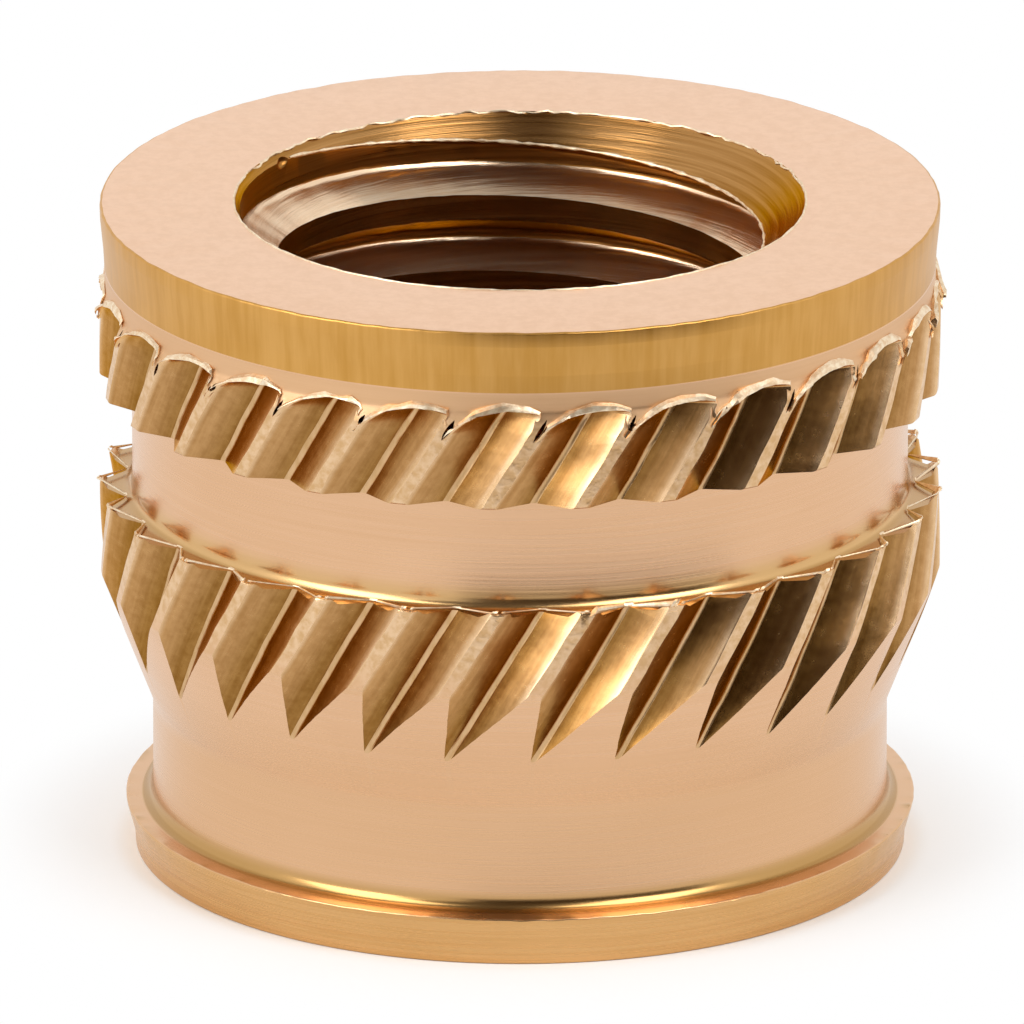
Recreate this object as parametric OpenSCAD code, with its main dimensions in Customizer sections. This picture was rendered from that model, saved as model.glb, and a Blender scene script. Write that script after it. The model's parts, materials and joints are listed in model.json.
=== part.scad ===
// Threaded insert for moulded plastic: a brass bush, turned, knurled and tapped in one piece.
// It stands on its lead end. The bore runs along Z and the origin is the centre of that end.
// Heights are measured up from the lead end, and the head is at the top.

/* [Overall] */
// Length between the two end faces
body_len = 7.62; // [6.9:0.01:12]
// Diameter over the knurl crests
knurl_d = 9.53; // [9:0.01:12]

/* [Head] */
// Depth of the plain rim at the head below the knurl crests
rim_step = 0.055; // [0:0.005:0.15]
// Height of the plain rim
rim_h = 0.95; // [0.5:0.01:1.6]
// Height over which the rolled metal swells from the rim out to the crests
swell_h = 0.18; // [0.1:0.01:0.4]
// Depth of the 45 degree countersink at the head
mouth_cut = 0.495; // [0.1:0.005:0.8]

/* [Knurl] */
// Number of grooves round the body
groove_count = 29; // [20:1:36]
// Slope of the grooves from the axis, for a right-hand helix
helix_angle = 31; // [0:1:40]
// Width of the flat at the foot of each groove
groove_floor_w = 0.12; // [0.06:0.01:0.16]
// Largest radius on the shoulders of the crests
crest_round = 0.12; // [0.03:0.01:0.15]

/* [Upper band] */
// Height of the upper knurl band, from the rim to the waist
upper_h = 1.14; // [0.8:0.01:1.4]
// Depth of its grooves
upper_depth = 0.27; // [0.15:0.01:0.35]
// Width of its crests, with their rounded shoulders
upper_crest_w = 0.2; // [0.1:0.01:0.3]
// Angle between the run-out at the closed end of its grooves and the axis
runout_angle = 45; // [30:1:60]
// How far the closed ends reach on to the rim
runout_reach = 0.04; // [0:0.01:0.1]
// Turn of its grooves about the axis, where they open into the waist
upper_turn = 1.9; // [-12:0.1:12]

/* [Waist] */
// Depth of the plain waist between the bands below the foot of the grooves
waist_step = 0.02; // [0.01:0.005:0.1]
// Height of the waist
waist_h = 1.25; // [0.8:0.01:1.6]
// Fillet where the waist meets the top of the lower band
waist_fillet = 0.14; // [0.05:0.01:0.2]

/* [Lower band] */
// Height of the lower knurl band, down to the lead taper
lower_h = 0.98; // [0.8:0.01:1.4]
// Depth of its grooves, halfway along them
lower_depth = 0.345; // [0.2:0.005:0.4]
// Angle at which its groove floors close in on the axis towards the lead end
lower_lean = 1; // [0:0.1:2]
// Width of its crests, with their rounded shoulders
lower_crest_w = 0.12; // [0.1:0.01:0.3]
// Turn of its grooves about the axis, at the foot of the lead taper
lower_turn = -3.4; // [-12:0.1:12]

/* [Lead end] */
// Angle between the lead taper and the axis
lead_angle = 21; // [14:1:35]
// Depth of the plain neck below the waist
neck_step = 0.23; // [0.1:0.005:0.3]
// Fillet where the neck meets the pilot flange
neck_fillet = 0.1; // [0.05:0.01:0.15]
// Depth of the upper edge of the pilot flange below the knurl crests
flange_step = 0.285; // [0.15:0.005:0.4]
// Depth of its lower edge, at the end face
flange_end_step = 0.385; // [0.15:0.005:0.6]
// Thickness of the pilot flange
flange_h = 0.56; // [0.3:0.01:0.9]
// Depth of the 45 degree countersink at the lead end
exit_cut = 0.45; // [0.1:0.005:0.8]

/* [Bore] */
// Diameter over the crests of the internal thread, 1/4-28
minor_d = 5.5; // [4.6:0.01:5.8]

/* [Hidden] */
$fn = 96;

// Radii of the steps
crest_r = knurl_d / 2;
rim_r = crest_r - rim_step;
waist_r = crest_r - max(upper_depth, lower_depth) - waist_step;
neck_r = waist_r - neck_step;
flange_r = crest_r - flange_step;
flange_end_r = crest_r - flange_end_step;

// Heights of the steps on the outside
upper_top = body_len - rim_h;
upper_foot = upper_top - upper_h;
lower_top = upper_foot - waist_h;
taper_top = lower_top - lower_h;
taper_foot = taper_top - (crest_r - neck_r) / tan(lead_angle);

// Spacing of the grooves square to their own length, and their turn for each mm of height
groove_pitch = PI * knurl_d / groove_count * cos(helix_angle);
turn_per_mm = tan(helix_angle) / crest_r * 180 / PI;
arc_steps = 3;
overshoot = 0.1;

// Half of a groove as points up and across: the corner of its floor, then up its flank and
// over the rounded shoulder on to the crest. The flanks lean so as to fill the pitch.
function groove_side(depth, crest_w) =
    let (
        flank = atan2((groove_pitch - crest_w - groove_floor_w) / 2, depth),
        setback = (1 - sin(flank)) / cos(flank),
        r = min(crest_round, crest_w * 0.35 / setback),
        arc_across = (groove_pitch - crest_w) / 2 + r * setback
    )
    concat(
        [[0, groove_floor_w / 2]],
        [for (i = [0 : arc_steps]) let (a = flank + (90 - flank) * i / arc_steps)
            [depth - r + r * sin(a), arc_across - r * cos(a)]]
    );

// Section of the cutter, with its floor at the origin and X pointing out of the body
module groove_section(depth, crest_w, squash = 1) {
    side = groove_side(depth, crest_w);
    last = side[len(side) - 1];
    polygon(concat(
        [for (p = side) [p.x * squash, p.y]],
        [[(last.x + overshoot) * squash, last.y]],
        [[(last.x + overshoot) * squash, -last.y]],
        [for (i = [len(side) - 1 : -1 : 0]) [side[i].x * squash, -side[i].y]]
    ));
}

// Places a cutter with its floor at the given depth and height, pointing up the helix.
// The helix turns from the height named start, and lean tips the cutter away from the axis.
module on_helix(depth, z, start, lean = 0) {
    rotate([0, 0, (z - start) * turn_per_mm])
        translate([crest_r - depth, 0, z])
            rotate([-helix_angle, 0, 0])
                rotate([0, lean, 0])
                    children();
}

// One groove of the upper band: it opens into the waist and climbs out where the rim begins
module upper_groove() {
    climb = upper_depth - rim_step;
    runout_foot = upper_top + runout_reach - climb / tan(runout_angle);
    lean = atan(tan(runout_angle) * cos(helix_angle));
    on_helix(upper_depth, runout_foot, upper_foot)
        translate([0, 0, -(upper_h + waist_h / 2)])
            linear_extrude(height = upper_h + waist_h / 2)
                groove_section(upper_depth, upper_crest_w);
    on_helix(upper_depth, runout_foot, upper_foot, lean)
        linear_extrude(height = (upper_depth + overshoot) / sin(lean))
            groove_section(upper_depth, upper_crest_w, cos(lean));
}

// One groove of the lower band: it opens into the waist and dies out on the lead taper
module lower_groove() {
    middle = (taper_foot + lower_top) / 2;
    length = (lower_top - taper_foot) / cos(helix_angle) + waist_h / 2;
    on_helix(lower_depth, middle, taper_foot, lower_lean)
        linear_extrude(height = length, center = true)
            groove_section(lower_depth, lower_crest_w);
}

// The turned outside before knurling, with a fillet at the foot of the neck and of the waist
module turned_blank() {
    rotate_extrude() difference() {
        polygon([
            [0, 0],
            [flange_end_r, 0],
            [flange_r, flange_h],
            [neck_r + neck_fillet, flange_h],
            [neck_r, flange_h + neck_fillet],
            [neck_r, taper_foot],
            [crest_r, taper_top],
            [crest_r, lower_top],
            [waist_r + waist_fillet, lower_top],
            [waist_r, lower_top + waist_fillet],
            [waist_r, upper_foot],
            [crest_r, upper_foot],
            [crest_r, upper_top - swell_h],
            [rim_r, upper_top],
            [rim_r, body_len],
            [0, body_len]
        ]);
        translate([neck_r + neck_fillet, flange_h + neck_fillet]) circle(r = neck_fillet);
        translate([waist_r + waist_fillet, lower_top + waist_fillet]) circle(r = waist_fillet);
    }
}

// The tapping hole with a 45 degree countersink at each end
module threaded_bore() {
    minor_r = minor_d / 2;
    translate([0, 0, -overshoot]) cylinder(h = body_len + 2 * overshoot, r = minor_r);
    translate([0, 0, body_len - mouth_cut])
        cylinder(h = mouth_cut + overshoot, r1 = minor_r, r2 = minor_r + mouth_cut + overshoot);
    translate([0, 0, -overshoot])
        cylinder(h = exit_cut + overshoot, r1 = minor_r + exit_cut + overshoot, r2 = minor_r);
}

// The whole insert, with a groove of each band facing the front
module insert_body() {
    color("burlywood") difference() {
        turned_blank();
        for (i = [0 : groove_count - 1]) {
            turn = i * 360 / groove_count - 90;
            rotate([0, 0, turn + upper_turn]) upper_groove();
            rotate([0, 0, turn + lower_turn]) lower_groove();
        }
        threaded_bore();
    }
}
insert_body();
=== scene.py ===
import json
import random
from math import atan2, cos, pi, radians, sin, sqrt, tan

import bpy
from mathutils import Matrix, Vector, noise

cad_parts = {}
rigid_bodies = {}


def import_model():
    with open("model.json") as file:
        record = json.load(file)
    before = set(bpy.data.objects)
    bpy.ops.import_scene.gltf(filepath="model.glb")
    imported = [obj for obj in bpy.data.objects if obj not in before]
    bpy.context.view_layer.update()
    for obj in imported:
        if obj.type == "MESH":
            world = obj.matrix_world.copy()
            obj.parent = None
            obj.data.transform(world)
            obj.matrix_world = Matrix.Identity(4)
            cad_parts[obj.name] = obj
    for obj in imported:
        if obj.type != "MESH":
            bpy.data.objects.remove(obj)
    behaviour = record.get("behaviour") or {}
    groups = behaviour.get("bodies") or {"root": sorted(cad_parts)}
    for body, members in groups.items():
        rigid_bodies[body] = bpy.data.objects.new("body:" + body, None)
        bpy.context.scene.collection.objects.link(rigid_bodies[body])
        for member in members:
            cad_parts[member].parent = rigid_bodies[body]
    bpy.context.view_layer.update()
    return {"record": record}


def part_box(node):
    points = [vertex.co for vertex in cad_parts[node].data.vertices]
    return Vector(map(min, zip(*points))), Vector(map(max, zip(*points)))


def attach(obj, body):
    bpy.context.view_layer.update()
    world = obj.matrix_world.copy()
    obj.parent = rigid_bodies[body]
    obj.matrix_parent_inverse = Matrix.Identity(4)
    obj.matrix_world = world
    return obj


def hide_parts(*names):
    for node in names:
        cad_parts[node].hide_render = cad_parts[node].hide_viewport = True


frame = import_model()

# The turned blank: a length of drawn brass bar, turned in a lathe to the rim, the waist, the
# lead taper, the neck and the pilot flange, and parted off. The insert is shaped in
# millimetres and brought to metres once it is whole, and it stands on its lead end.
MM = 0.001
foot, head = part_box("insert_body")
body_len = (head[2] - foot[2]) / MM
crest_r = (head[0] - foot[0]) / 2 / MM

BLANK_SIDES = 464
CORE_R, NECK_R, WAIST_R, STRIP_R = 3.6, 4.171, 4.398, 4.706
FLANGE_H, TAPER_FOOT, TAPER_TOP, LOWER_TOP = 0.572, 1.775, 3.307, 4.283
UPPER_FOOT, SWELL_FOOT, STRIP_FOOT, STRIP_TOP = 5.532, 6.47, 6.667, 6.896
# The lower crests end in a ridge that stands above the foot of the waist's fillet
WAIST_FOOT, WAIST_FILLET, RIDGE_R, RIDGE_H = 4.233, 0.23, 4.68, 0.1
# Heights between which the blank's rows are close together, to take the lips, and their gap
LIP_ROWS = (6.4, 6.86, 0.023)

# Radius, height and corner radius of each step, from the lead end up
BLANK_STEPS = [
    (CORE_R, 0, 0),
    (4.372, 0, 0.03),
    (4.381, 0.186, 0.1),
    (4.488, FLANGE_H, 0.02),
    (NECK_R, FLANGE_H, 0.19),
    (NECK_R, TAPER_FOOT, 0.5),
    (crest_r, TAPER_TOP, 0.08),
    (crest_r, WAIST_FOOT + RIDGE_H, 0.04),
    (RIDGE_R, WAIST_FOOT, 0.03),
    (WAIST_R, WAIST_FOOT, WAIST_FILLET),
    (WAIST_R, UPPER_FOOT, 0.025),
    (crest_r, UPPER_FOOT, 0.03),
    (crest_r, SWELL_FOOT, 0.15),
    (STRIP_R, STRIP_FOOT, 0.15),
    (STRIP_R, STRIP_TOP, 0),
    (4.717, 7.1, 0.3),
    (4.752, 7.45, 0.1),
    (4.757, body_len, 0.026),
    (CORE_R, body_len, 0),
]


def only(piece):
    """Leaves this piece as the one selected and active."""
    bpy.ops.object.select_all(action="DESELECT")
    piece.select_set(True)
    bpy.context.view_layer.objects.active = piece


def rounded(steps, facets=4):
    """The outline through the steps, with an arc of the asked radius at each corner."""
    outline = [Vector(steps[0][:2])]
    for before, (r, z, corner), after in zip(steps, steps[1:], steps[2:]):
        here = Vector((r, z))
        if not corner:
            outline.append(here)
            continue
        to_last, to_next = Vector(before[:2]) - here, Vector(after[:2]) - here
        half = to_last.angle(to_next) / 2
        tangent = min(corner / tan(half), 0.45 * min(to_last.length, to_next.length))
        to_last.normalize()
        to_next.normalize()
        centre = here + (to_last + to_next).normalized() * tangent / cos(half)
        first, last = here + to_last * tangent - centre, here + to_next * tangent - centre
        for i in range(facets + 1):
            spoke = first.normalized().slerp(last.normalized(), i / facets)
            outline.append(centre + spoke * first.length)
    return outline + [Vector(steps[-1][:2])]


def close_rows(outline, low, high, gap):
    """Adds rows no further apart than the gap where the outline lies between two heights."""
    rows = [outline[0]]
    for here in outline[1:]:
        last = rows[-1]
        if low <= here.y <= high and here.y - last.y > gap:
            count = int((here.y - max(last.y, low)) / gap) + 1
            start = last.lerp(here, max(0, (low - last.y) / (here.y - last.y)))
            if last.y < low:
                rows.append(start)
            rows += [start.lerp(here, i / count) for i in range(1, count)]
        rows.append(here)
    return rows


def turned(name, outline, sides):
    """Turns a closed solid: a filled ring, extruded and resized from row to row."""
    bpy.ops.object.select_all(action="DESELECT")
    first = outline[0]
    bpy.ops.mesh.primitive_circle_add(vertices=sides, radius=first.x, fill_type="NGON",
                                      location=(0, 0, first.y))
    piece = bpy.context.object
    piece.name = name
    bpy.ops.object.transform_apply(location=True, rotation=False, scale=False)
    bpy.ops.object.mode_set(mode="EDIT")
    bpy.ops.mesh.select_all(action="SELECT")
    for last, here in zip(outline, outline[1:]):
        bpy.ops.mesh.extrude_region_move(TRANSFORM_OT_translate={"value": (0, 0, here.y - last.y)})
        bpy.ops.transform.resize(value=(here.x / last.x, here.x / last.x, 1),
                                 center_override=(0, 0, 0))
    bpy.ops.mesh.select_all(action="SELECT")
    bpy.ops.mesh.normals_make_consistent(inside=False)
    bpy.ops.object.mode_set(mode="OBJECT")
    return piece


class Wire:
    """A socket of a material's nodes. Arithmetic on wires and numbers adds Math nodes."""

    def __init__(self, tree, socket):
        self.tree, self.socket = tree, socket

    def node(self, kind, settings, inputs, output=0):
        """Adds any node: its settings first, then its sockets' values or links."""
        made = self.tree.nodes.new(kind)
        for name, value in settings.items():
            setattr(made, name, value)
        for name, value in inputs.items():
            if isinstance(value, Wire):
                self.tree.links.new(value.socket, made.inputs[name])
            else:
                made.inputs[name].default_value = value
        return Wire(self.tree, made.outputs[output])

    def math(self, operation, *values):
        return self.node("ShaderNodeMath", {"operation": operation}, dict(enumerate(values)))

    def __add__(self, other):
        return self.math("ADD", self, other)

    def __sub__(self, other):
        return self.math("SUBTRACT", self, other)

    def __rsub__(self, other):
        return self.math("SUBTRACT", other, self)

    def __mul__(self, other):
        return self.math("MULTIPLY", self, other)

    __radd__, __rmul__ = __add__, __mul__

    def axis(self, index):
        """One coordinate of the place, in mm."""
        return self.node("ShaderNodeSeparateXYZ", {}, {0: self}, index) * (1 / MM)

    def from_axis(self):
        """Distance of the place from the axis, in mm."""
        x, y = self.axis(0), self.axis(1)
        return self.math("SQRT", x * x + y * y)

    def between(self, low, high):
        """Climbs smoothly from 0 at the low value to 1 at the high one."""
        inputs = {"Value": self, "From Min": low, "From Max": high}
        return self.node("ShaderNodeMapRange", {"interpolation_type": "SMOOTHSTEP"}, inputs)

    def band(self, start, full, fade, end):
        """Climbs smoothly to 1, stays there between the full and fade values, and falls to 0."""
        return self.between(start, full) * self.between(end, fade)

    def stretched(self, *scale):
        """The place, in mm, scaled along each axis, so that noise read there is drawn out."""
        scale = [factor / MM for factor in scale]
        return self.node("ShaderNodeVectorMath", {"operation": "MULTIPLY"}, {0: self, 1: scale})

    def noise(self, detail=2, roughness=0.5):
        inputs = {"Vector": self, "Scale": 1, "Detail": detail, "Roughness": roughness}
        return self.node("ShaderNodeTexNoise", {}, inputs)

    def mix(self, first, second):
        """Goes from the first colour to the second as this wire goes from 0 to 1."""
        inputs = {0: self, 6: first, 7: second}
        return self.node("ShaderNodeMix", {"data_type": "RGBA"}, inputs, 2)

    def shade(self, first, second):
        """Goes from the first colour to the second over the middle range of a noise."""
        return self.between(0.3, 0.7).mix(first, second)

    def bump(self, height_mm):
        return self.node("ShaderNodeBump", {}, {"Height": self, "Distance": height_mm * MM})


def finish(name, paint):
    """A bare metal finish. paint gets the place on the piece and gives the shader's inputs."""
    metal = bpy.data.materials.new(name)
    metal.use_nodes = True
    tree = metal.node_tree
    shader = tree.nodes["Principled BSDF"]
    place = Wire(tree, tree.nodes.new("ShaderNodeTexCoord").outputs["Object"])
    shader.inputs["Metallic"].default_value = 1
    for socket, value in paint(place).items():
        if isinstance(value, Wire):
            tree.links.new(value.socket, shader.inputs[socket])
        else:
            shader.inputs[socket].default_value = value
    return metal


def turned_finish(place):
    """Fine rings left by the lathe tool. The crests carry the knurling wheel's pits instead, the
    flange's side is yellower, and the fillets are smoother, their darker colour painted shade."""
    rings = place.stretched(0.3, 0.3, 22).noise(3, 0.6)
    drift = place.stretched(0.5, 0.5, 0.9).noise()
    pits = place.stretched(10, 10, 10).noise(3, 0.6)
    height = place.axis(2)
    lower = height.band(TAPER_TOP - 0.3, TAPER_TOP + 0.5, LOWER_TOP + 0.06, LOWER_TOP + 0.1)
    upper = height.band(UPPER_FOOT, UPPER_FOOT + 0.02, SWELL_FOOT, STRIP_FOOT)
    crests = lower * place.from_axis().between(RIDGE_R, RIDGE_R + 0.05) + upper
    flange = height.between(FLANGE_H + 0.01, FLANGE_H - 0.03)
    fillets = (height.band(WAIST_FOOT - 0.03, WAIST_FOOT - 0.01, LOWER_TOP + 0.05, LOWER_TOP + 0.3)
               + height.band(FLANGE_H, FLANGE_H + 0.01, FLANGE_H + 0.06, FLANGE_H + 0.25))
    feet = (height.between(WAIST_FOOT + 0.06, WAIST_FOOT + 0.02)
            + height.between(FLANGE_H + 0.05, FLANGE_H + 0.015))
    neck = height.between(TAPER_TOP - 0.2, TAPER_FOOT)
    strip = height.band(SWELL_FOOT - 0.1, SWELL_FOOT, STRIP_TOP - 0.026, STRIP_TOP - 0.006)
    tone = rings * 0.6 + drift * 0.4
    colour = tone.shade((0.75, 0.455, 0.26, 1), (0.80, 0.5, 0.3, 1))
    colour = (neck * 0.5).mix(colour, (0.68, 0.405, 0.21, 1))
    colour = (strip * 0.2).mix(colour, (0.60, 0.39, 0.15, 1))
    # Painted shade: the fillets take a darker colour for the dark reflection along them, darker
    # still at their feet
    colour = (fillets * 0.75).mix(colour, (0.66, 0.41, 0.155, 1))
    colour = (fillets * feet * 0.7).mix(colour, (0.46, 0.255, 0.08, 1))
    colour = crests.mix(colour, pits.shade((0.68, 0.42, 0.2, 1), (0.84, 0.58, 0.35, 1)))
    yellower = tone.shade((0.62, 0.35, 0.13, 1), (0.71, 0.42, 0.175, 1))
    return {
        "Base Color": flange.mix(colour, yellower),
        "Roughness": rings * 0.14 + pits * crests * 0.1 + strip * 0.16 - fillets * 0.05 + 0.2,
        "Normal": (rings + pits * crests * 6).bump(0.0014),
    }


def faced_finish(place):
    """The end faces: the tool's feed marks run round the bore."""
    feed = place.node("ShaderNodeCombineXYZ", {}, {0: place.from_axis() * 18}).noise(2, 0.6)
    grain = place.stretched(7, 7, 7).noise(3, 0.7)
    return {
        "Base Color": grain.shade((0.87, 0.58, 0.39, 1), (0.92, 0.63, 0.44, 1)),
        "Roughness": feed * 0.1 + 0.36,
        "Normal": (feed * 0.5 + grain * 0.5).bump(0.002),
    }


def drawn_finish(place):
    """The bar's own skin: darker, yellower, and streaked along its length by the die."""
    streaks = place.stretched(9, 9, 0.25).noise(3, 0.6)
    cloud = place.stretched(1.2, 1.2, 1.2).noise()
    tone = streaks * 0.65 + cloud * 0.35
    return {
        "Base Color": tone.shade((0.59, 0.30, 0.067, 1), (0.69, 0.375, 0.108, 1)),
        "Roughness": streaks * 0.12 + 0.3,
        "Normal": streaks.bump(0.0015),
    }


TURNED, FACED, DRAWN = 0, 1, 2
blank_finishes = [finish("turned_brass", turned_finish), finish("faced_brass", faced_finish),
                  finish("drawn_brass", drawn_finish)]

insert = turned("brass_insert", close_rows(rounded(BLANK_STEPS), *LIP_ROWS), BLANK_SIDES)
for metal in blank_finishes:
    insert.data.materials.append(metal)
for face in insert.data.polygons:
    if abs(face.normal.z) > 0.99 and (face.center.z < 0.1 or face.center.z > body_len - 0.1):
        face.material_index = FACED
    elif face.center.z > STRIP_TOP:
        face.material_index = DRAWN


# Without a seed of its own, noise_vector would be another one at each run
noise.seed_set(7)


def roughen(piece, amount, grain, chosen=lambda place: True):
    """Shifts the chosen points by noise of so many cells to a mm, so that no edge is perfect."""
    for point in piece.data.vertices:
        if chosen(point.co):
            point.co += noise.noise_vector(point.co * grain) * amount


def near_edge(height, reach, radius):
    """Chooses the points near an edge: close to its height and outside a radius."""
    return lambda place: abs(place.z - height) < reach and place.xy.length > radius


roughen(insert, 0.008, 5.3, near_edge(body_len, 0.06, 4.7))
roughen(insert, 0.008, 5.3, near_edge(FLANGE_H, 0.04, 4.44))
roughen(insert, 0.02, 4.3, near_edge(WAIST_FOOT + RIDGE_H, 0.05, 4.69))

# The knurl: two bands of grooves rolled into the blank on a right-hand helix. The upper grooves
# stop short of the rim, where the metal that they push aside stands up as a lip, and the lower
# ones die out on the lead taper. Each groove is cut by a bar of its own shape.
GROOVES = 29
TURN_PER_MM = radians(7.5)
PITCH = 2 * pi / GROOVES
FRONT = radians(-90)
# Each band's turn, at the height of its mark
UPPER_TURN, UPPER_MARK = radians(1.9), UPPER_FOOT
LOWER_TURN, LOWER_MARK = radians(1.9), 2.433


def rolled_finish(place, rub_from, rub_to):
    """Metal squeezed by the knurling wheel: burnished along the grooves, with painted shade on the
    flanks that darkens towards their feet, and rubbed clean between the two radii."""
    upright = place.node("ShaderNodeVectorRotate", {"rotation_type": "Z_AXIS"},
                         {"Vector": place, "Angle": place.axis(2) * -TURN_PER_MM})
    streaks = upright.stretched(11, 11, 0.7).noise(3, 0.6)
    pits = place.stretched(9, 9, 9).noise(2, 0.6)
    tone = (streaks * 0.6 + pits * 0.4).between(0.3, 0.7)
    radius = place.from_axis()
    # Painted shade: the flanks are darker than the brass for the shade and dark reflections in the
    # grooves, darkest towards the floor
    painted_shade_deep = tone.mix((0.25, 0.11, 0.022, 1), (0.38, 0.195, 0.055, 1))
    high = tone.mix((0.42, 0.215, 0.075, 1), (0.57, 0.32, 0.13, 1))
    rubbed = tone.mix((0.72, 0.46, 0.23, 1), (0.86, 0.60, 0.37, 1))
    flank = radius.between(4.5, 4.7).mix(painted_shade_deep, high)
    return {
        "Base Color": radius.between(rub_from, rub_to).mix(flank, rubbed),
        "Roughness": pits * 0.08 + 0.22,
        "Specular Tint": (0.85, 0.55, 0.25, 1),
        "Normal": (streaks * 0.7 + pits * 0.3).bump(0.0014),
    }


def lip_highlight_finish(place):
    """Metal pushed up and torn, in a pale colour that is a painted highlight."""
    grain = place.stretched(12, 12, 12).noise(3, 0.7)
    return {
        "Base Color": grain.shade((0.80, 0.57, 0.35, 1), (0.97, 0.83, 0.62, 1)),
        "Roughness": grain * 0.12 + 0.36,
        "Normal": grain.bump(0.004),
    }


def floor_finish(place):
    """The foot of a groove, pressed flat and bright by the wheel's teeth."""
    grain = place.stretched(9, 9, 3).noise(3, 0.6)
    return {
        "Base Color": grain.shade((0.58, 0.35, 0.155, 1), (0.70, 0.45, 0.24, 1)),
        "Roughness": grain * 0.14 + 0.22,
        "Normal": grain.bump(0.003),
    }


left_brass = finish("left_flank_brass", lambda place: rolled_finish(place, 4.72, 4.78))
right_brass = finish("right_flank_brass", lambda place: rolled_finish(place, 4.68, 4.77))
floor_brass = finish("floor_brass", floor_finish)
# Painted highlight: the lips and burrs, the mouth's and the thread edge's too, take a pale colour
# for the bright reflection on them
lip_brass = finish("lip_brass", lip_highlight_finish)


def groove_outline(floor_w, depth, left, right, facets=6):
    """Section of a groove's bar as rise and width, from floor 0 to crest 1, then clear of it.
    Each side is its flank's angle from the radius and the radius of its shoulder."""
    last = radians(78)
    sides = []
    for angle, shoulder in (left, right):
        flank = radians(angle)
        centre = floor_w / 2 + depth * tan(flank) + shoulder * (1 - sin(flank)) / cos(flank)
        side = [(0, floor_w / 2 - 0.01), (0.008 / depth, floor_w / 2 + 0.008)]
        for i in range(facets + 1):
            turn = flank + (last - flank) * i / facets
            rise = (depth - shoulder + shoulder * sin(turn)) / depth
            side.append((rise, centre - shoulder * cos(turn)))
        clear = centre + 0.01
        rise = side[-1][0] + (clear - side[-1][1]) / tan(last) / depth
        sides.append(side + [(rise, clear), (rise + 1, clear)])
    left_side, right_side = sides
    return right_side + [(rise, -across) for rise, across in reversed(left_side)]


def on_helix(mark, turn, radius, across, height):
    """A place beside a groove's centre line, which turns to the right as it rises."""
    place = Vector((radius, across, height))
    place.rotate(Matrix.Rotation(FRONT + turn + (height - mark) * TURN_PER_MM, 3, "Z"))
    return place


def swept(name, outline, stations, metal, laid):
    """Extrudes an outline from station to station, then lays each of its points in place."""
    bpy.ops.object.select_all(action="DESELECT")
    bpy.ops.mesh.primitive_circle_add(vertices=len(outline), radius=1, fill_type="NGON")
    bar = bpy.context.object
    bar.name = name
    bar.data.materials.append(metal)
    for corner, (u, v) in zip(bar.data.vertices, outline):
        corner.co = (u, v, stations[0])
    bpy.ops.object.mode_set(mode="EDIT")
    bpy.ops.mesh.select_all(action="SELECT")
    for last, here in zip(stations, stations[1:]):
        bpy.ops.mesh.extrude_region_move(TRANSFORM_OT_translate={"value": (0, 0, here - last)})
    bpy.ops.object.mode_set(mode="OBJECT")
    for point in bar.data.vertices:
        point.co = laid(*point.co)
    bpy.ops.object.mode_set(mode="EDIT")
    bpy.ops.mesh.select_all(action="SELECT")
    bpy.ops.mesh.normals_make_consistent(inside=False)
    bpy.ops.object.mode_set(mode="OBJECT")
    return bar


LEFT_FLANK, RIGHT_FLANK, GROOVE_FLOOR = 0, 1, 2
groove_finishes = [left_brass, right_brass, floor_brass]


def groove_bar(name, outline, heights, floor_at, depth_at, close_at, turn, mark):
    """Extrudes a groove's section upwards, ring by ring, and lays it on the helix."""
    def laid(rise, across, height):
        radius = floor_at(height) + rise * depth_at(height)
        return on_helix(mark, turn, radius, across * close_at(height)[across > 0], height)

    bar = swept(name, outline, heights, groove_finishes[LEFT_FLANK], laid)
    bar.data.materials.append(groove_finishes[RIGHT_FLANK])
    bar.data.materials.append(groove_finishes[GROOVE_FLOOR])
    for face in bar.data.polygons:
        middle = face.center.copy()
        middle.rotate(Matrix.Rotation(-FRONT - turn - (middle.z - mark) * TURN_PER_MM, 3, "Z"))
        if middle.x < floor_at(middle.z) + 0.012 and abs(face.normal.z) < 0.5:
            face.material_index = GROOVE_FLOOR
        elif middle.y > 0:
            face.material_index = RIGHT_FLANK
    return bar


def joined(parts):
    """Joins the parts into the first one."""
    bpy.ops.object.select_all(action="DESELECT")
    for part in parts:
        part.select_set(True)
    bpy.context.view_layer.objects.active = parts[0]
    bpy.ops.object.join()
    return parts[0]


def ring_of(bar, count, jitter, seed):
    """Copies the bar round the axis, each copy a little out of step, and joins the copies."""
    draw = random.Random(seed)
    copies = [bar]
    for i in range(1, count):
        only(bar)
        bpy.ops.object.duplicate(linked=False)
        copies.append(bpy.context.object)
    for i, copy in enumerate(copies):
        slip = Matrix.Translation((0, 0, draw.uniform(-1, 1) * jitter))
        turn = i * PITCH + draw.uniform(-1, 1) * jitter / crest_r / 3
        copy.data.transform(Matrix.Rotation(turn, 4, "Z") @ slip)
    return joined(copies)


def cut(piece, tool, operation="DIFFERENCE"):
    """Cuts the tool's shape out of the piece, or adds it, and takes the tool away."""
    only(piece)
    step = piece.modifiers.new("cut", "BOOLEAN")
    step.object = tool
    step.operation = operation
    step.solver = "MANIFOLD"
    step.material_mode = "TRANSFER"
    bpy.ops.object.modifier_apply(modifier=step.name)
    bpy.data.objects.remove(tool)


# Radius of an upper groove's floor, and the heights where that curves up at its closed end and
# where the groove stops. Its left and right sides arch in from one height to another.
UPPER_FLOOR, END_WALL, ARCH_TOP = 4.505, 6.61, 6.69
LEFT_ARCH, RIGHT_ARCH = (6.33, ARCH_TOP), (6.64, 6.73)


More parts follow.
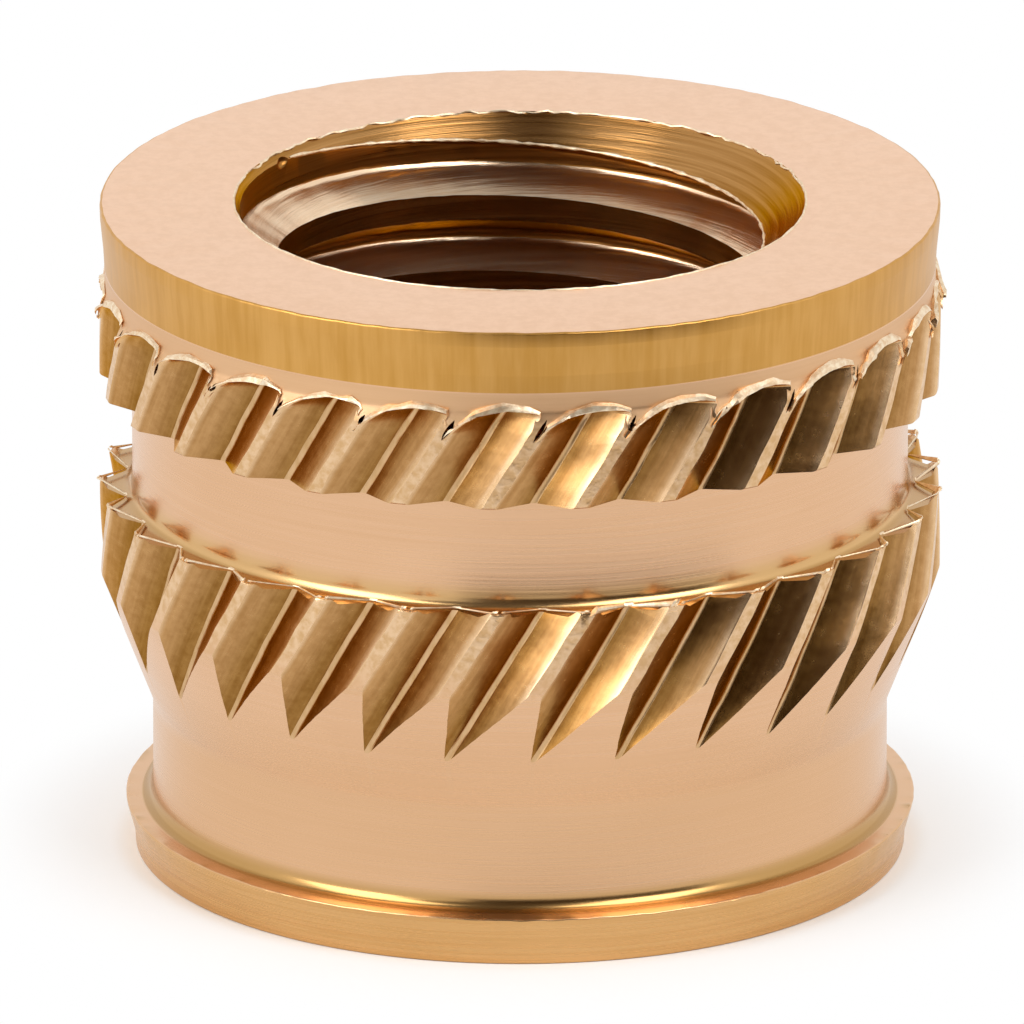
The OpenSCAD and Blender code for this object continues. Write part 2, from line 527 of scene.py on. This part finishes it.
def upper_floor(height):
    """Radius of an upper groove's floor, which curves up into a wall at its closed end."""
    past = max(0, height - END_WALL) / (ARCH_TOP - END_WALL)
    climbed = 1 - sqrt(1 - past * past) if past < 1 else 1.4
    return UPPER_FLOOR + (crest_r - UPPER_FLOOR) * climbed


def upper_close(height):
    """How far an upper groove's left and right sides have closed in at its arched end."""
    shares = [max(0, height - foot) / (top - foot) for foot, top in (LEFT_ARCH, RIGHT_ARCH)]
    return [sqrt(max(0.01, 1 - share * share)) for share in shares]


def steps_between(low, high, count):
    """Evenly spaced values from the low one to the high one."""
    return [low + (high - low) * i / count for i in range(count + 1)]


def strip_radius(height):
    """Radius of the blank where it swells from the strip to the crests."""
    share = min(1, max(0, (height - SWELL_FOOT) / (STRIP_FOOT - SWELL_FOOT)))
    return crest_r + (STRIP_R - crest_r) * share


LIP_SIDES = 8


def bead(name, path, sizes, laid):
    """A bead of metal of the given sizes along a path, which is laid in place point by point."""
    ring = [(cos(2 * pi * i / LIP_SIDES), sin(2 * pi * i / LIP_SIDES)) for i in range(LIP_SIDES)]

    def around(out, aside, station):
        k = round(station)
        here, size = path[k], sizes[k]
        along = (path[min(k + 1, len(path) - 1)] - path[max(k - 1, 0)]).normalized()
        return laid(here, out * size, Vector((-along.y, along.x)) * aside * size)

    return swept(name, ring, list(range(len(path))), lip_brass, around)


# Angle and shoulder of a groove's left and right sides
UPPER_LEFT, UPPER_RIGHT = (60, 0.12), (59, 0.18)
upper_outline = groove_outline(0.065, crest_r - UPPER_FLOOR, UPPER_LEFT, UPPER_RIGHT)


def arch_edge(height, side):
    """How far an upper groove reaches at the blank's surface: side 0 is its left, 1 its right."""
    rise = (strip_radius(height) - upper_floor(height)) / (crest_r - UPPER_FLOOR)
    points = [(r, abs(a)) for r, a in upper_outline if (a > 0) == bool(side)]
    points.sort()
    for (r0, a0), (r1, a1) in zip(points, points[1:]):
        if r0 <= rise < r1:
            reach = a0 + (a1 - a0) * (rise - r0) / (r1 - r0)
            return reach * upper_close(height)[side] * (1 if side else -1)
    return 0


def upper_lip(index, draw):
    """The lip round one groove's arched end, heavier in some places than in others."""
    top = ARCH_TOP - 0.02
    left_rows = steps_between(LEFT_ARCH[0] + 0.02, top, 9)
    right_rows = steps_between(6.46, top, 6)
    path = [Vector((arch_edge(height, 0), height)) for height in left_rows]
    path.append(Vector((arch_edge(top, 1) / 2, top + 0.004)))
    path += [Vector((arch_edge(height, 1), height)) for height in reversed(right_rows)]
    strength = draw.uniform(0.8, 1.3)
    # It swells over its first 14 points, and is thin on the rest
    sizes = []
    for i in range(len(path)):
        swell = sin(pi * min(1, (i + 0.5) / 14) ** 1.2)
        lumps = 1 + 0.55 * noise.noise(Vector((i * 0.6, index * 5.3, 0)))
        sizes.append((0.01 + 0.05 * swell * strength) * lumps)

    def laid(here, out, aside):
        across, height = here + aside * 1.6
        place = on_helix(UPPER_MARK, UPPER_TURN, strip_radius(here.y) + out * 1.05, across, height)
        place.rotate(Matrix.Rotation(index * PITCH, 3, "Z"))
        return place

    return bead("lip", path, sizes, laid)


draw = random.Random(11)
lips = joined([upper_lip(i, draw) for i in range(GROOVES)])
roughen(lips, 0.032, 8)
cut(insert, lips, "UNION")

upper_rows = steps_between(5.25, 6.3, 10)[:-1] + steps_between(6.3, END_WALL, 5)[:-1]
upper_rows += steps_between(END_WALL, ARCH_TOP + 0.01, 9)
upper_bar = groove_bar("upper_bar", upper_outline, upper_rows, upper_floor,
                       lambda height: crest_r - UPPER_FLOOR, upper_close, UPPER_TURN, UPPER_MARK)
upper_bars = ring_of(upper_bar, GROOVES, 0.012, 3)
roughen(upper_bars, 0.012, 3.1)
cut(insert, upper_bars)


def lap_slit(index, draw):
    """A slit at a crest's top, where the metal was folded over beside the next groove."""
    length, width = draw.uniform(0.1, 0.3), draw.uniform(0.018, 0.048)
    depth = draw.uniform(0.13, 0.22)
    middle, across = draw.uniform(6.43, 6.5), -draw.uniform(0.47, 0.53)
    # Shares of its full width and depth, from its foot to its top
    profile = [0.15, 0.8, 1, 0.85, 0.2]

    def laid(out, aside, station):
        share = profile[round(station)]
        height = middle + (station / (len(profile) - 1) - 0.5) * length
        radius = crest_r + 0.03 if out > 0 else crest_r - depth * share
        place = on_helix(UPPER_MARK, UPPER_TURN, radius, across + aside * width * share, height)
        place.rotate(Matrix.Rotation(index * PITCH, 3, "Z"))
        return place

    wedge = [(1, -1), (1, 1), (-1, 0.3), (-1, -0.3)]
    return swept("slit", wedge, list(range(len(profile))), left_brass, laid)


slits = joined([lap_slit(i, draw) for i in range(GROOVES)])
cut(insert, slits)


# Radius of a lower groove's floor at the mark, and what it gains in each mm of height
LOWER_FLOOR, LOWER_LEAN = 4.422, 0.0395


def lower_floor(height):
    """Radius of a lower groove's floor, which closes in on the axis towards the lead end."""
    return LOWER_FLOOR + (height - LOWER_MARK) * LOWER_LEAN


LOWER_LEFT, LOWER_RIGHT = (56, 0.1), (53, 0.16)
LOWER_MIDDLE = 3.3
lower_outline = groove_outline(0.06, crest_r - lower_floor(LOWER_MIDDLE), LOWER_LEFT, LOWER_RIGHT)
lower_bar = groove_bar("lower_bar", lower_outline, steps_between(2.2, 4.6, 20), lower_floor,
                       lambda height: crest_r - lower_floor(height), lambda height: (1, 1),
                       LOWER_TURN, LOWER_MARK)
lower_bars = ring_of(lower_bar, GROOVES, 0.012, 5)
roughen(lower_bars, 0.01, 3.1)
cut(insert, lower_bars)


def lower_burr(index, draw):
    """The burr along one groove's top edge, left where the wheel ran out into the waist. The
    one to the right of the front stands out."""
    floor_r = lower_floor(LOWER_TOP)
    depth = crest_r - floor_r
    path = [Vector((across, floor_r + rise * depth)) for rise, across in lower_outline]
    path = [point for point in path if point.y < crest_r + 0.002]
    path.sort(key=lambda point: point.x)
    # Each point goes a little into the metal, so that the burr is one with it
    path = [point + Vector((0.014 if point.x > 0 else -0.014, -0.009)) for point in path]
    strength = 2.6 if index == 0 else draw.uniform(0.3, 1.3)
    sizes = []
    for point in path:
        size = 0.013 * strength * draw.uniform(0.5, 1.4) + 0.007
        sizes.append(size * min(1, 0.4 + abs(point.x) / 0.3))

    def laid(here, out, aside):
        across, radius = here + aside
        inside = min(WAIST_FILLET, max(0, WAIST_R + WAIST_FILLET - radius))
        up = min(1, max(0, (radius - RIDGE_R) / (crest_r - 0.02 - RIDGE_R))) * RIDGE_H
        top = WAIST_FOOT + WAIST_FILLET - sqrt(WAIST_FILLET ** 2 - inside ** 2) + up
        place = on_helix(LOWER_MARK, LOWER_TURN, radius, across, top - 0.008 + out)
        place.rotate(Matrix.Rotation(index * PITCH, 3, "Z"))
        return place

    return bead("burr", path, sizes, laid)


burrs = joined([lower_burr(i, draw) for i in range(GROOVES)])
roughen(burrs, 0.01, 7)
cut(insert, burrs, "UNION")

# The bore: drilled, countersunk at 45 degrees at both ends, and tapped 1/4-28. The tap's
# thread is a right-hand helix of 60 degree section with a small flat at its root.
THREAD_MAJOR_R, THREAD_PITCH = 3.175, 0.907
MOUTH_R, EXIT_CUT, OVERSHOOT = 3.245, 0.45, 0.3
thread = next(m for m in frame["record"]["mounts"] if m["name"] == "thread")
minor_r = thread["dims"]["r_mm"]
# Height of the groove's middle at the back of the mouth, and the steps of the tap in a turn
THREAD_MARK = 7.066
TAP_STEPS = 180


def tapped_finish(place):
    """The tap's cut: fine lines that run with the thread."""
    lines = place.stretched(0.4, 0.4, 24).noise(4, 0.7)
    return {
        "Base Color": lines.shade((0.88, 0.62, 0.40, 1), (0.97, 0.76, 0.54, 1)),
        "Roughness": lines * 0.16 + 0.16,
        "Normal": lines.bump(0.006),
    }


def countersunk_shade_finish(place):
    """The countersink's cut, with a fine ring at each turn, in a dark brown that is painted shade.
    """
    rings = place.stretched(0.25, 0.25, 20).noise(4, 0.7)
    return {
        "Base Color": rings.shade((0.32, 0.145, 0.036, 1), (0.50, 0.265, 0.095, 1)),
        "Roughness": rings * 0.16 + 0.14,
        "Specular Tint": (0.85, 0.55, 0.25, 1),
        "Normal": rings.bump(0.006),
    }


def bored_shade_finish(place):
    """The upper side of the tap's cut, torn, in a dark brown that is painted shade: a shaded copy
    of the tap's finish.
    """
    rings = place.stretched(0.25, 0.25, 20).noise(4, 0.7)
    return {
        "Base Color": rings.shade((0.27, 0.11, 0.02, 1), (0.46, 0.215, 0.058, 1)),
        "Roughness": rings * 0.2 + 0.2,
        "Specular Tint": (0.85, 0.55, 0.25, 1),
        "Normal": rings.bump(0.006),
    }


tapped_brass = finish("tapped_brass", tapped_finish)
bored_brass = finish("bored_brass", bored_shade_finish)
countersunk_brass = finish("countersunk_brass", countersunk_shade_finish)
drill = turned("drill", [
    Vector((minor_r + EXIT_CUT + OVERSHOOT, -OVERSHOOT)),
    Vector((minor_r, EXIT_CUT)),
    Vector((minor_r, body_len - MOUTH_R + minor_r)),
    Vector((MOUTH_R - 0.035, body_len - 0.035)),
    Vector((MOUTH_R + OVERSHOOT, body_len + OVERSHOOT)),
], 360)
# Painted shade: the countersinks and the drilled wall take the dark brown for the dark reflections
# in the bore
drill.data.materials.append(countersunk_brass)
cut(insert, drill)


def tap_section():
    """Section of the thread groove as radius and height, from inside the bore to its root."""
    flank = tan(radians(30))
    root = THREAD_PITCH / 16
    half = root + (THREAD_MAJOR_R - minor_r) * flank
    arc = root * cos(radians(30)) / (1 - sin(radians(30)))
    near_root = THREAD_MAJOR_R - 0.075
    upper = [(minor_r - 0.25, half + 0.15), (minor_r - 0.05, half + 0.05 * flank),
             (near_root, half - (near_root - minor_r) * flank)]
    for angle in (30, 50, 70, 84):
        a = radians(angle)
        upper.append((THREAD_MAJOR_R - arc + arc * sin(a), arc * cos(a)))
    return upper + [(r, -z) for r, z in reversed(upper)]


# Degrees past the mark at which the groove's upper side starts to lift, how fast, and how far
LIFT_START, LIFT_RATE, LIFT_MAX = -70, 1.755e-5, 0.283


def thread_lift(turn):
    """How far the groove's upper side is torn up near the mouth, at so many turns past the mark."""
    past = max(0, turn * 360 - LIFT_START)
    return min(LIFT_MAX, past * past * LIFT_RATE)


def tap_bar(turns_down, turns_up):
    """The tap's thread: its section extruded round the axis along the helix."""
    section = tap_section()
    bpy.ops.object.select_all(action="DESELECT")
    bpy.ops.mesh.primitive_circle_add(vertices=len(section), radius=1, fill_type="NOTHING")
    bar = bpy.context.object
    bar.name = "tap"
    bar.data.materials.append(tapped_brass)
    for corner, (r, z) in zip(bar.data.vertices, section):
        corner.co = (0, r, THREAD_MARK - turns_down * THREAD_PITCH + z)
    screw = bar.modifiers.new("screw", "SCREW")
    screw.axis = "Z"
    screw.angle = 2 * pi * (turns_down + turns_up)
    screw.screw_offset = THREAD_PITCH * (turns_down + turns_up)
    screw.steps = screw.render_steps = int(TAP_STEPS * (turns_down + turns_up))
    screw.use_smooth_shade = False
    only(bar)
    bpy.ops.object.modifier_apply(modifier=screw.name)
    bpy.ops.object.mode_set(mode="EDIT")
    bpy.ops.mesh.select_all(action="SELECT")
    bpy.ops.mesh.fill_holes(sides=0)
    bpy.ops.mesh.select_all(action="SELECT")
    bpy.ops.mesh.normals_make_consistent(inside=False)
    bpy.ops.object.mode_set(mode="OBJECT")
    return bar


def above_groove(place):
    """Height above the middle of the thread's groove, and that middle's turns past the mark."""
    start = (atan2(place.y, place.x) - radians(90)) / (2 * pi)
    turn = start + round((place.z - THREAD_MARK) / THREAD_PITCH - start)
    return place.z - THREAD_MARK - turn * THREAD_PITCH, turn


tap = tap_bar(9, 1)
for point in tap.data.vertices:
    above, turn = above_groove(point.co)
    if above > 0.03:
        point.co.z += thread_lift(turn)
TORN_SIDE = 1
tap.data.materials.append(bored_brass)
# Painted shade: faces above the groove's middle take the dark brown copy, the lower ones keep the
# tap's paler finish
for face in tap.data.polygons:
    if above_groove(face.center)[0] > -0.03:
        face.material_index = TORN_SIDE
roughen(tap, 0.008, 5, lambda place: place.z > 6)
cut(insert, tap)

bpy.ops.mesh.primitive_torus_add(major_segments=320, minor_segments=6, location=(0, 0, 0),
                                 major_radius=MOUTH_R - 0.006, minor_radius=0.016)
mouth_burr = bpy.context.object
mouth_burr.data.transform(Matrix.Translation((0, 0, body_len - 0.004)))
mouth_burr.data.materials.append(lip_brass)
roughen(mouth_burr, 0.01, 7)
roughen(mouth_burr, 0.032, 9, lambda place: place.y > 0.6)
cut(insert, mouth_burr, "UNION")

# The notch that the tap's first tooth broke out of the countersink where it entered
bpy.ops.mesh.primitive_ico_sphere_add(subdivisions=3, radius=0.13, location=(0, 0, 0))
notch = bpy.context.object
notch.data.transform(Matrix.Scale(0.7, 4, (0, 0, 1)))
notch.data.transform(Matrix.Translation((-2.63, 1.62, body_len - 0.1)))
# The notch's inside takes the dark brown of painted shade
notch.data.materials.append(bored_brass)
roughen(notch, 0.03, 7)
cut(insert, notch)


def thread_edge(turn):
    """Radius and height at which the first groove breaks out through the countersink."""
    flank = tan(radians(30))
    upper_root = THREAD_MARK + (turn + 1 / 16) * THREAD_PITCH + thread_lift(turn)
    radius = (upper_root + THREAD_MAJOR_R * flank - body_len + MOUTH_R) / (1 + flank)
    return radius, body_len - MOUTH_R + radius


# The burr where the first groove breaks out, over the turns past the mark at which it does
edge_path = [Vector((turn, 0)) for turn in steps_between(-0.38, 0.155, 130)]
edge_sizes = [draw.uniform(0.008, 0.026) for _ in edge_path]


def edge_laid(here, out, aside):
    radius, height = thread_edge(here.x)
    place = Vector((0, radius + out, height + aside.y))
    place.rotate(Matrix.Rotation(here.x * 2 * pi, 3, "Z"))
    return place


edge_burr = bead("edge_burr", edge_path, edge_sizes, edge_laid)
roughen(edge_burr, 0.008, 9)
cut(insert, edge_burr, "UNION")

# Chips that the cuts left loose are taken away: all that isn't joined to the lead end
only(insert)
bpy.ops.object.mode_set(mode="EDIT")
bpy.ops.mesh.select_all(action="DESELECT")
bpy.ops.object.mode_set(mode="OBJECT")
min(insert.data.vertices, key=lambda point: point.co.z).select = True
bpy.ops.object.mode_set(mode="EDIT")
bpy.ops.mesh.select_linked()
bpy.ops.mesh.select_all(action="INVERT")
bpy.ops.mesh.delete(type="VERT")
bpy.ops.object.mode_set(mode="OBJECT")
insert.data.transform(Matrix.Scale(MM, 4))
bpy.ops.object.shade_smooth_by_angle(angle=radians(28))
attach(insert, "root")
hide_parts("insert_body")

# The setting: a plain white floor inside a white tent, lit by a soft lamp at each side. In front
# the tent is open to the unlit room, and the dark cloth there begins on the floor.


def matt(name, colour):
    """A plain, rough surface of one colour."""
    plain = bpy.data.materials.new(name)
    plain.use_nodes = True
    shader = plain.node_tree.nodes["Principled BSDF"]
    shader.inputs["Base Color"].default_value = colour
    shader.inputs["Roughness"].default_value = 1
    return plain


bpy.ops.object.select_all(action="DESELECT")
bpy.ops.mesh.primitive_plane_add(size=4, location=(0, 0, 0))
floor = bpy.context.object
floor.name = "floor"
paper = matt("paper", (0.9, 0.9, 0.9, 1))
tree = paper.node_tree
tree.nodes["Principled BSDF"].inputs["Specular IOR Level"].default_value = 0
rays = tree.nodes.new("ShaderNodeLightPath").outputs
seen = (Wire(tree, rays["Is Camera Ray"]) + Wire(tree, rays["Is Glossy Ray"])
        + Wire(tree, rays["Is Transmission Ray"]))
# The floor shows white, but keeps the object's shadow near its foot
out = Wire(tree, tree.nodes.new("ShaderNodeTexCoord").outputs["Object"]).from_axis()
shown = out.between(4.4, 4.7) * 0.4 + out.between(4.5, 6.4) * 0.6
glow = tree.nodes.new("ShaderNodeEmission")
blend = tree.nodes.new("ShaderNodeMixShader")
tree.links.new((seen * shown).socket, blend.inputs[0])
tree.links.new(tree.nodes["Principled BSDF"].outputs[0], blend.inputs[1])
tree.links.new(glow.outputs[0], blend.inputs[2])
tree.links.new(blend.outputs[0], tree.nodes["Material Output"].inputs["Surface"])
floor.data.materials.append(paper)

world = bpy.data.worlds.new("tent")
world.use_nodes = True
bpy.context.scene.world = world
world.node_tree.nodes["Background"].inputs["Color"].default_value = (1, 1, 1, 1)
world.node_tree.nodes["Background"].inputs["Strength"].default_value = 1


def toward(azimuth, elevation):
    """The direction at these degrees: the azimuth runs from the front, to the right."""
    a, e = radians(azimuth), radians(elevation)
    return Vector((sin(a) * cos(e), -cos(a) * cos(e), sin(e)))


def softbox(name, azimuth, elevation, distance, size, watts):
    """A rectangular lamp that faces the object from the given direction."""
    back = toward(azimuth, elevation)
    bpy.ops.object.light_add(type="AREA", location=back * distance)
    lamp = bpy.context.object
    lamp.name = name
    lamp.data.shape = "RECTANGLE"
    lamp.data.size, lamp.data.size_y = size
    lamp.data.energy = watts
    lamp.rotation_mode = "QUATERNION"
    lamp.rotation_quaternion = (-back).to_track_quat("-Z", "Y")


softbox("left_lamp", -55, 37, 0.3, (0.16, 0.25), 0.46)
softbox("right_lamp", 47, 46, 0.3, (0.16, 0.22), 0.42)

bpy.ops.mesh.primitive_plane_add(size=2, location=(0, 0, 1.43))
ceiling = bpy.context.object
ceiling.name = "ceiling"
ceiling.data.materials.append(matt("grey_ceiling", (0.62, 0.62, 0.62, 1)))

# The cloth starts on the floor, CLOTH_START in front of the object, and then hangs as part of a
# dome. Its lower part is moved to the right, by LOW_SHIFT degrees at its left and right edges.
CLOTH_R, CLOTH_LEFT, CLOTH_RIGHT, CLOTH_TOP, CLOTH_START = 1.42, -38, 24, 92, 0.03
LOW_TOP, LOW_BLEND, LOW_SHIFT = 0.26, 0.1, (22, 34)
bpy.ops.mesh.primitive_grid_add(x_subdivisions=16, y_subdivisions=20, size=1)
cloth = bpy.context.object
cloth.name = "dark_cloth"
for point in cloth.data.vertices:
    # The first rows are the ones on the floor, and the rise goes from 0 to 1 up the dome
    rise = (point.co.y + 0.4) / 0.9
    low = min(1, max(0, 1 - (rise - LOW_TOP) / LOW_BLEND))
    left, right = CLOTH_LEFT + LOW_SHIFT[0] * low, CLOTH_RIGHT + LOW_SHIFT[1] * low
    azimuth = left + (point.co.x + 0.5) * (right - left)
    if rise < 0.001:
        reach = CLOTH_START if rise < -0.1 else CLOTH_R
        point.co = toward(azimuth, 0) * reach + Vector((0, 0, 0.0003))
    else:
        point.co = toward(azimuth, rise * CLOTH_TOP) * CLOTH_R
cloth.data.materials.append(matt("black_cloth", (0.09, 0.055, 0.025, 1)))

# The camera looks down on the object a little, from far off. VIEW_W is the width that it sees.
ELEVATION = radians(18.8)
VIEW_W = 11.62 * MM
DISTANCE = 0.38
bpy.ops.object.camera_add()
camera = bpy.context.object
camera.data.sensor_width = 36
camera.data.lens = camera.data.sensor_width * DISTANCE / VIEW_W
camera.data.clip_start, camera.data.clip_end = 0.01, 5
back = Vector((0, -cos(ELEVATION), sin(ELEVATION)))
up = Vector((0, sin(ELEVATION), cos(ELEVATION)))
aim = Vector((-0.0908 * MM, 0, body_len * MM / 2)) + up * 0.0795 * MM
camera.location = aim + back * DISTANCE
camera.rotation_mode = "QUATERNION"
camera.rotation_quaternion = (-back).to_track_quat("-Z", "Y")
bpy.context.scene.camera = camera
bpy.context.scene.view_settings.view_transform = "Standard"
